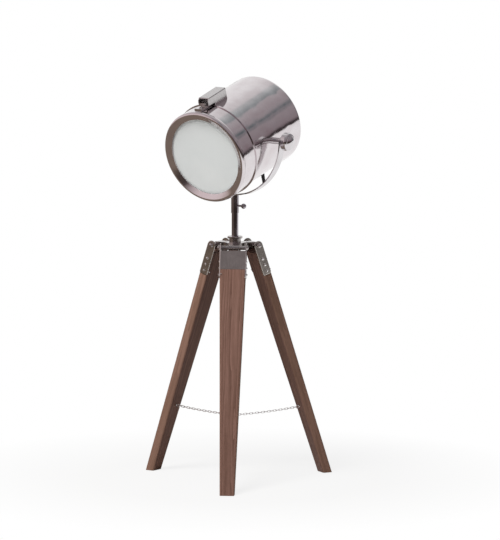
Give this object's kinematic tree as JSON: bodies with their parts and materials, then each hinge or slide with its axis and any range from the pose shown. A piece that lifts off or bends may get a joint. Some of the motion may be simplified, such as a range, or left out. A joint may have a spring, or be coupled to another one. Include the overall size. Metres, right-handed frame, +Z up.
{
  "type": "tripod spotlight floor lamp",
  "caption": "Drum spotlight with a hinged glass door in a tilting yoke, panning on a short pole over folding tapered wooden legs held by a chain.",
  "frame": {"origin": "point on the floor under the pole, midway between the three feet", "axes": "+Z up along the pole; -Y along the front leg; +X to the right seen from the front leg"},
  "size_m": [0.461, 0.4228, 0.9868],
  "materials": {
    "dark_stained_wood": "dark walnut stain under a satin lacquer",
    "satin_nickel_cap": "satin nickel plate, folded sheet",
    "polished_chrome": "mirror-polished chrome plate",
    "nickel_casting": "polished nickel plate on a casting",
    "zinc_steel": "zinc-plated steel",
    "white_reflector": "satin white enamel",
    "black_rubber": "moulded rubber",
    "black_phenolic": "moulded heat-proof plastic",
    "frosted_glass": "acid-frosted glass",
    "opal_bulb": "opal glass with a metal screw base",
    "bright_chain": "nickel-plated wire links"
  },
  "bodies": {
    "stand": {"hub": "nickel_casting", "hub_flange": "nickel_casting", "pole": "polished_chrome", "pole_nut": "zinc_steel", "chain_ring": "bright_chain", "leg_front_chain": "bright_chain", "leg_right_chain": "bright_chain", "leg_left_chain": "bright_chain"},
    "leg_front": {"leg_front_board": "dark_stained_wood", "leg_front_cap": "satin_nickel_cap", "leg_front_cap_screws": "nickel_casting", "leg_front_hinge_bolt": "nickel_casting", "leg_front_hinge_nut": "nickel_casting", "leg_front_hinge_spacers": "nickel_casting", "leg_front_chain_eye": "nickel_casting"},
    "leg_right": {"leg_right_board": "dark_stained_wood", "leg_right_cap": "satin_nickel_cap", "leg_right_cap_screws": "nickel_casting", "leg_right_hinge_bolt": "nickel_casting", "leg_right_hinge_nut": "nickel_casting", "leg_right_hinge_spacers": "nickel_casting", "leg_right_chain_eye": "nickel_casting"},
    "leg_left": {"leg_left_board": "dark_stained_wood", "leg_left_cap": "satin_nickel_cap", "leg_left_cap_screws": "nickel_casting", "leg_left_hinge_bolt": "nickel_casting", "leg_left_hinge_nut": "nickel_casting", "leg_left_hinge_spacers": "nickel_casting", "leg_left_chain_eye": "nickel_casting"},
    "turret": {"sleeve": "polished_chrome", "yoke_strap": "polished_chrome", "yoke_screw": "polished_chrome", "friction_washers": "zinc_steel"},
    "thumb_screw": {"thumb_screw": "polished_chrome"},
    "spotlight": {"drum_shell": "polished_chrome", "pivot_bosses": "zinc_steel", "pivot_spacers": "polished_chrome", "cable_gland": "black_rubber", "gland_nut": "zinc_steel", "reflector": "white_reflector", "lamp_bracket": "zinc_steel", "bracket_screws": "zinc_steel", "lampholder": "black_phenolic", "bulb": "opal_bulb", "drum_hinge_leaf": "polished_chrome", "door_hinge_pin": "polished_chrome", "catch_base": "polished_chrome", "catch_hood": "polished_chrome", "catch_spring": "polished_chrome", "catch_rivets": "polished_chrome"},
    "tilt_knob_right": {"tilt_knob_right": "polished_chrome"},
    "tilt_knob_left": {"tilt_knob_left": "polished_chrome"},
    "door": {"door_ring": "polished_chrome", "door_hinge_leaf": "polished_chrome", "glass_gasket": "black_rubber", "front_glass": "frosted_glass", "glass_retainer": "zinc_steel", "catch_keeper": "polished_chrome", "keeper_screw": "polished_chrome"}
  },
  "joints": [
    {"name": "leg_front_fold", "type": "hinge", "parent": "stand", "child": "leg_front", "pos_m": [0, -0.0487, 0.579], "axis": [1, 0, 0], "range_deg": [0, 18], "deforming": ["leg_front_chain"]},
    {"name": "leg_right_fold", "type": "hinge", "parent": "stand", "child": "leg_right", "pos_m": [0.04217, 0.02435, 0.579], "axis": [-0.5, 0.866, 0], "range_deg": [0, 18], "deforming": ["leg_right_chain"]},
    {"name": "leg_left_fold", "type": "hinge", "parent": "stand", "child": "leg_left", "pos_m": [-0.04217, 0.02435, 0.579], "axis": [-0.5, -0.866, 0], "range_deg": [0, 18], "deforming": ["leg_left_chain"]},
    {"name": "head_pan", "type": "hinge", "parent": "stand", "child": "turret", "pos_m": [0, 0, 0.68], "axis": [0, 0, 1], "range_deg": [-170, 170]},
    {"name": "thumb_screw_turn", "type": "hinge", "parent": "turret", "child": "thumb_screw", "pos_m": [0, 0, 0.6775], "axis": [0.8545, -0.5195, 0], "range_deg": [-180, 180]},
    {"name": "head_tilt", "type": "hinge", "parent": "turret", "child": "spotlight", "pos_m": [0, 0, 0.8455], "axis": [-0.8545, 0.5195, 0], "range_deg": [-8, 38]},
    {"name": "tilt_knob_right_turn", "type": "hinge", "parent": "turret", "child": "tilt_knob_right", "pos_m": [0, 0, 0.8455], "axis": [0.8545, -0.5195, 0], "range_deg": [-180, 180]},
    {"name": "tilt_knob_left_turn", "type": "hinge", "parent": "turret", "child": "tilt_knob_left", "pos_m": [0, 0, 0.8455], "axis": [-0.8545, 0.5195, 0], "range_deg": [-180, 180]},
    {"name": "door_open", "type": "hinge", "parent": "spotlight", "child": "door", "pos_m": [-0.02089, -0.03436, 0.70529], "axis": [0.8545, -0.5195, 0], "range_deg": [0, 95], "deforming": ["catch_spring"]}
  ]
}
